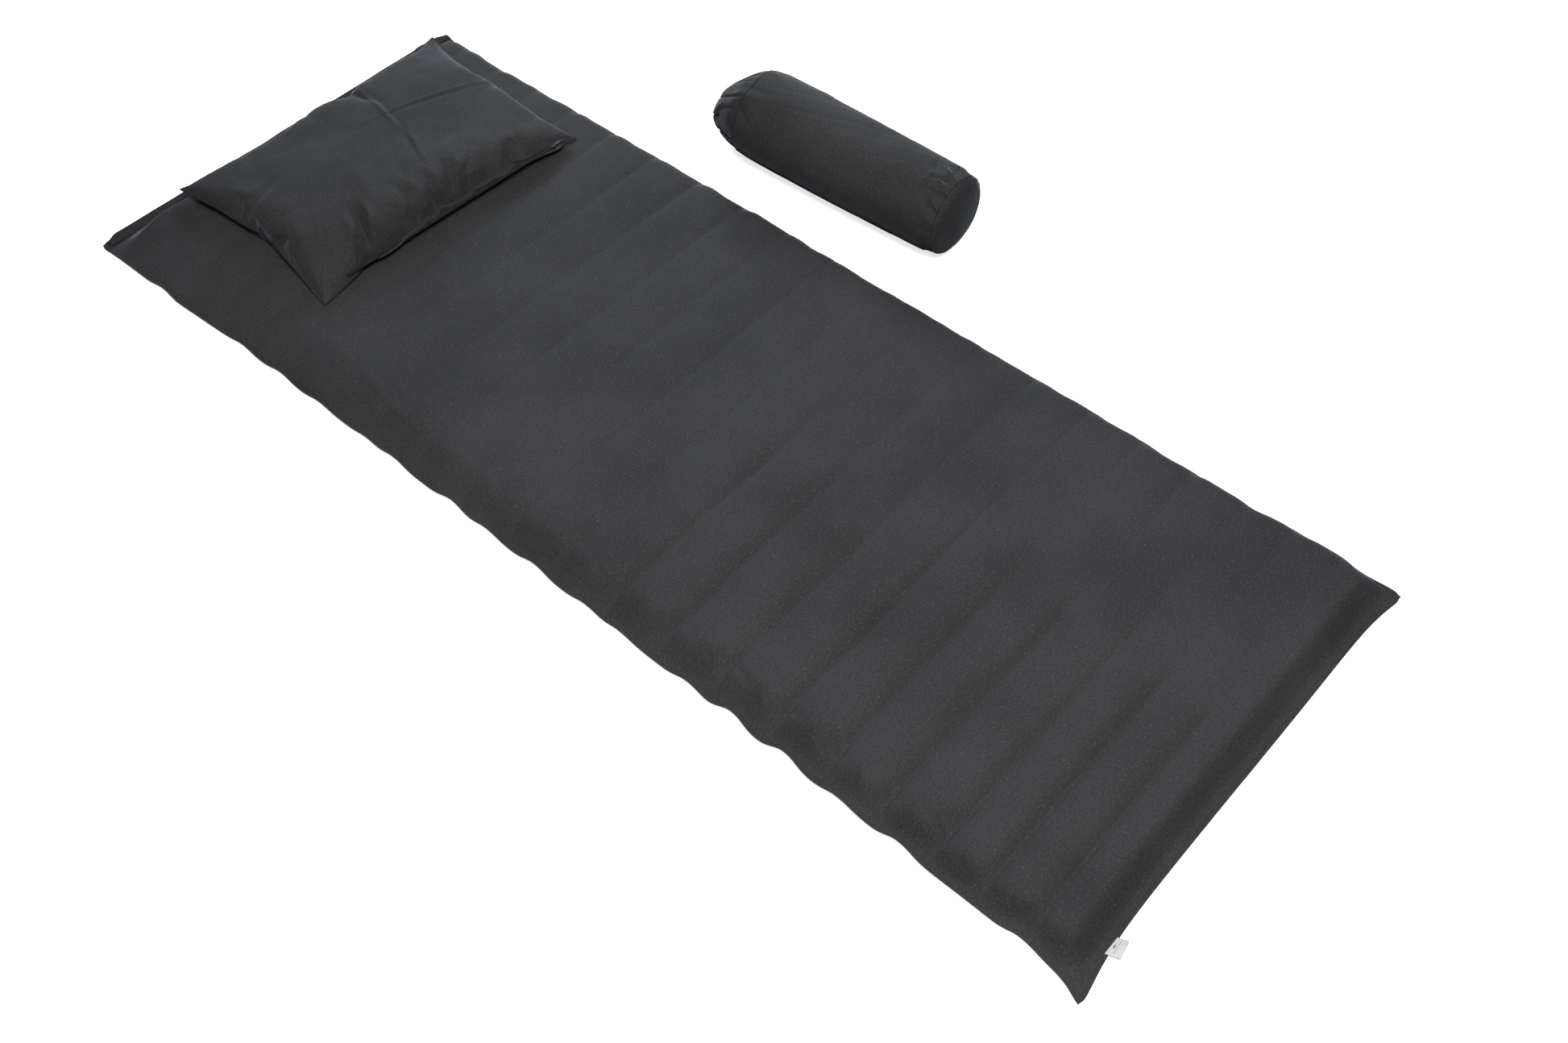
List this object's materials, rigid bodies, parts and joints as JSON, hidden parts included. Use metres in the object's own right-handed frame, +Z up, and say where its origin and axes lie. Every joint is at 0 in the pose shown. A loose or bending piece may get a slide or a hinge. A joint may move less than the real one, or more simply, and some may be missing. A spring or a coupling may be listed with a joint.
{
  "type": "futon mattress",
  "caption": "Folding black cotton floor mattress with crosswise padded channels and three fold lines, with its matching zipped pillow and round bolster.",
  "frame": {"origin": "middle of the mattress's underside, on the floor", "axes": "+Y along the mattress to its head end and pillow, +X to the long edge beside which the bolster lies, +Z up"},
  "size_m": [0.9163, 1.8024, 0.142],
  "materials": {
    "black_twill": "matte",
    "inner_cotton": "matte",
    "filling": "matte",
    "white_label": "satin",
    "zip_tape": "matte",
    "zip_teeth": "satin",
    "zip_metal": "satin"
  },
  "bodies": {
    "upper_section": {"upper_cover_top": "black_twill", "upper_cover_underside": "black_twill", "upper_ticking_top": "inner_cotton", "upper_ticking_underside": "inner_cotton", "upper_fill_roll_1": "filling", "upper_fill_roll_2": "filling", "upper_fill_roll_3": "filling", "upper_fill_roll_4": "filling", "upper_fill_roll_5": "filling"},
    "lower_section": {"lower_cover_top": "black_twill", "lower_cover_underside": "black_twill", "lower_ticking_top": "inner_cotton", "lower_ticking_underside": "inner_cotton", "lower_fill_roll_1": "filling", "lower_fill_roll_2": "filling", "lower_fill_roll_3": "filling", "lower_fill_roll_4": "filling", "lower_fill_roll_5": "filling"},
    "foot_section": {"foot_cover_top": "black_twill", "foot_cover_underside": "black_twill", "foot_ticking_top": "inner_cotton", "foot_ticking_underside": "inner_cotton", "foot_fill_roll_1": "filling", "foot_fill_roll_2": "filling", "foot_fill_roll_3": "filling", "foot_fill_roll_4": "filling", "foot_fill_roll_5": "filling", "foot_fill_roll_6": "filling", "side_label": "white_label"},
    "head_section": {"head_cover_top": "black_twill", "head_cover_underside": "black_twill", "head_ticking_top": "inner_cotton", "head_ticking_underside": "inner_cotton", "head_fill_roll_1": "filling", "head_fill_roll_2": "filling", "head_fill_roll_3": "filling", "head_fill_roll_4": "filling", "head_fill_roll_5": "filling", "mattress_zip_tape": "zip_tape", "mattress_zip_teeth": "zip_teeth"},
    "mattress_zip_pull_tab": {"mattress_zip_slider": "zip_metal", "mattress_zip_pull": "zip_metal"},
    "pillow": {"pillow_cover_top": "black_twill", "pillow_cover_underside": "black_twill", "pillow_inner_bag": "inner_cotton", "pillow_filling": "filling", "pillow_zip_tape": "zip_tape", "pillow_zip_teeth": "zip_teeth"},
    "pillow_zip_pull_tab": {"pillow_zip_slider": "zip_metal", "pillow_zip_pull": "zip_metal"},
    "bolster": {"bolster_cover_tube": "black_twill", "bolster_foot_disc": "black_twill", "bolster_head_disc": "black_twill", "bolster_inner_bag": "inner_cotton", "bolster_filling": "filling", "bolster_zip_tape": "zip_tape", "bolster_zip_teeth": "zip_teeth"},
    "bolster_zip_pull_tab": {"bolster_zip_slider": "zip_metal", "bolster_zip_pull": "zip_metal"}
  },
  "joints": [
    {"name": "head_fold", "type": "hinge", "parent": "upper_section", "child": "head_section", "pos_m": [0, 0.475, 0.0403], "axis": [1, 0, 0], "range_deg": [0, 90]},
    {"name": "centre_fold", "type": "hinge", "parent": "upper_section", "child": "lower_section", "pos_m": [0, 0.02, 0.0403], "axis": [1, 0, 0], "range_deg": [-179.5, 0]},
    {"name": "foot_fold", "type": "hinge", "parent": "lower_section", "child": "foot_section", "pos_m": [0, -0.425, -0.0003], "axis": [1, 0, 0], "range_deg": [0, 179.5]},
    {"name": "mattress_zip_slide", "type": "slide", "parent": "head_section", "child": "mattress_zip_pull_tab", "axis": [-1, 0, 0], "range_m": [0, 0.591]},
    {"name": "pillow_lift", "type": "slide", "parent": "head_section", "child": "pillow", "axis": [0, 0, 1], "range_m": [0, 0.25]},
    {"name": "pillow_zip_slide", "type": "slide", "parent": "pillow", "child": "pillow_zip_pull_tab", "axis": [-0.9991, 0.0419, 0], "range_m": [0, 0.391]},
    {"name": "bolster_lift", "type": "slide", "parent": "upper_section", "child": "bolster", "axis": [0, 0, 1], "range_m": [0, 0.25]},
    {"name": "bolster_zip_slide", "type": "slide", "parent": "bolster", "child": "bolster_zip_pull_tab", "axis": [0.0356, -0.9994, 0], "range_m": [0, 0.291]}
  ],
  "couplings": [
    {"joint": "foot_fold", "follows": "centre_fold", "ratio": -1}
  ]
}
